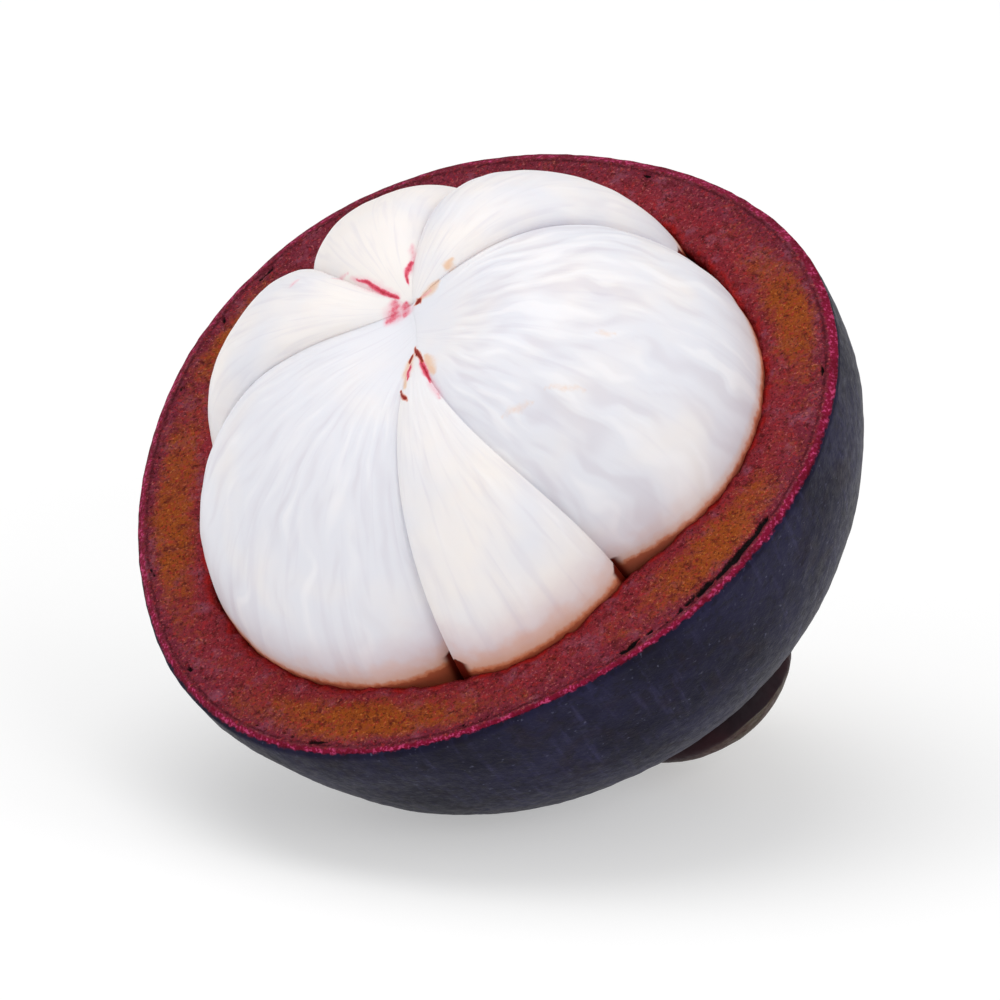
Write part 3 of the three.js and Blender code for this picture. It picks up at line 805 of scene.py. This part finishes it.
def roughen(work, depth, size):  # lumps along the normals, with the feet kept on the ground
    work.normal_update()
    outside = work.verts.layers.float.new("outside")
    middle = toWorld @ Vector((0, 0, rind["centre"]))
    moves = []
    for vertex in work.verts:
        point = vertex.co * 1000
        lump = grain(point, size, 30) + 0.5 * grain(point, size / 2.5, 31)
        moves.append(vertex.normal * lump * depth * 0.001)
        vertex[outside] = vertex.normal.dot((vertex.co - middle).normalized())
    for vertex, move in zip(work.verts, moves):
        vertex.co += move
        vertex.co.z = max(vertex.co.z, 0)


def calyxFinish(name, outerShare):  # outerShare: how much of the green and brown outer colour shows on its outer face
    finish = Finish(name, **{"IOR": 1.4, "Specular IOR Level": 0.2})
    patches = finish.noise(7, 3, 0.6)
    outer = finish.mix(colour(110, 96, 44), colour(96, 58, 32), patches.between(0.4, 0.6))
    red = finish.noise(3, 3, 0.6).between(0.56, 0.7)
    outer = finish.mix(outer, colour(104, 32, 28), red * 0.7)
    speckle = finish.noise(0.45, 3, 0.6)
    outer = finish.mix(outer, colour(58, 34, 24), speckle.between(0.52, 0.66) * 0.7)
    inner = finish.mix(colour(34, 22, 28), colour(46, 24, 30), patches.between(0.42, 0.6))
    onOuter = (finish.attribute("outside") + finish.noise(1.5, 2) * 0.3).between(0.8, 1.05) * outerShare
    base = finish.mix(inner, outer, onOuter)
    height = finish.noise(0.8, 3, 0.55) * 0.7 + finish.cells(0.7) * 0.3
    rough = speckle.between(0.3, 0.7) * 0.15 + 0.45
    return finish.feed(Base_Color=base, Roughness=rough, Normal=finish.bump(height, 0.1))


def stemFinish():
    finish = Finish("stem", **{"IOR": 1.4, "Specular IOR Level": 0.3})
    patches = finish.noise(4, 3, 0.6).between(0.4, 0.6)
    base = finish.mix(colour(132, 112, 44), colour(142, 84, 36), patches)
    base = finish.mix(base, colour(70, 40, 22), finish.noise(1.2, 3, 0.6).between(0.55, 0.7))
    height = finish.noise(0.6, 3, 0.6)
    rough = height.between(0.3, 0.7) * 0.15 + 0.5
    return finish.feed(Base_Color=base, Roughness=rough, Normal=finish.bump(height, 0.15))


# The front lobe is mostly its dark inner colour, partly real and partly painted shade; the other lobes show
# their green and brown
shadedCalyx = calyxFinish("calyx_shaded", calyx["shadedFront"])
greenCalyx = calyxFinish("calyx_green", calyx["outerShare"])
for node in calyx["lobes"]:
    work = nodeCopy(node, calyx["cuts"], calyx["smoothing"])
    roughen(work, calyx["lumpDepth"], calyx["lumpSize"])
    finish = shadedCalyx if node == "calyx_lobe_front" else greenCalyx
    makePiece(node + "_skin", work, finish, node)
work = nodeCopy("stem_stub", stem["cuts"], stem["smoothing"])
roughen(work, stem["lumpDepth"], stem["lumpSize"])
makePiece("stem_stub_bark", work, stemFinish(), "stem_stub")
print("calyx and stem made")


# Floor, light and camera


studio = {"floorSize": 3, "floorGrey": 0.6, "floorGlow": 0.42, "surroundings": 0.55}


def plainFloor():
    work = bmesh.new()
    bmesh.ops.create_grid(work, x_segments=1, y_segments=1, size=studio["floorSize"])
    mesh = bpy.data.meshes.new("floor")
    work.to_mesh(mesh)
    work.free()
    floor = bpy.data.objects.new("floor", mesh)
    bpy.context.scene.collection.objects.link(floor)
    grey = studio["floorGrey"]
    constants = {"Base Color": (grey, grey, grey, 1), "Roughness": 0.9}
    constants.update({"Specular IOR Level": 0.1, "Emission Color": (1, 1, 1, 1)})
    constants["Emission Strength"] = studio["floorGlow"]
    mesh.materials.append(Finish("floor", **constants).material)


lights = [  # place and size in metres, power in watts
    {"name": "overhead", "place": (-0.15, 0.1, 0.9), "size": 0.8, "power": 3.3},
    {"name": "front", "place": (0.5, -0.9, 0.6), "size": 0.5, "power": 2},
    {"name": "left", "place": (-0.9, -0.3, 0.5), "size": 0.6, "power": 1.1},
    {"name": "right", "place": (0.9, -0.3, 0.6), "size": 0.6, "power": 1.2},
]


def softLight(name, place, size, power):
    lamp = bpy.data.lights.new(name, "AREA")
    lamp.shape = "DISK"
    lamp.size = size
    lamp.energy = power
    light = bpy.data.objects.new(name, lamp)
    light.location = place
    aim = Vector((0, 0, 0.02)) - Vector(place)
    light.rotation_euler = aim.to_track_quat("-Z", "Y").to_euler()
    bpy.context.scene.collection.objects.link(light)


camera = {  # degrees, metres, and the frame's width at the fruit
    "elevation": 18,
    "distance": 1.5,
    "width": 0.08,
    "aim": (0.0, 0.0, 0.0235),
}


def addCamera():
    data = bpy.data.cameras.new("camera")
    data.lens = data.sensor_width * camera["distance"] / camera["width"]
    data.clip_start = 0.01
    view = bpy.data.objects.new("camera", data)
    tilt = math.radians(camera["elevation"])
    back = Vector((0, -math.cos(tilt), math.sin(tilt))) * camera["distance"]
    view.location = Vector(camera["aim"]) + back
    view.rotation_euler = (math.pi / 2 - tilt, 0, 0)
    bpy.context.scene.collection.objects.link(view)
    bpy.context.scene.camera = view


def addWorld():
    world = bpy.data.worlds.new("studio")
    world.use_nodes = True
    background = world.node_tree.nodes["Background"].inputs
    background["Color"].default_value = (1, 1, 1, 1)
    background["Strength"].default_value = studio["surroundings"]
    bpy.context.scene.world = world
    bpy.context.scene.view_settings.view_transform = "Standard"


plainFloor()
for light in lights:
    softLight(**light)
addCamera()
addWorld()
print("floor, lights and camera made")
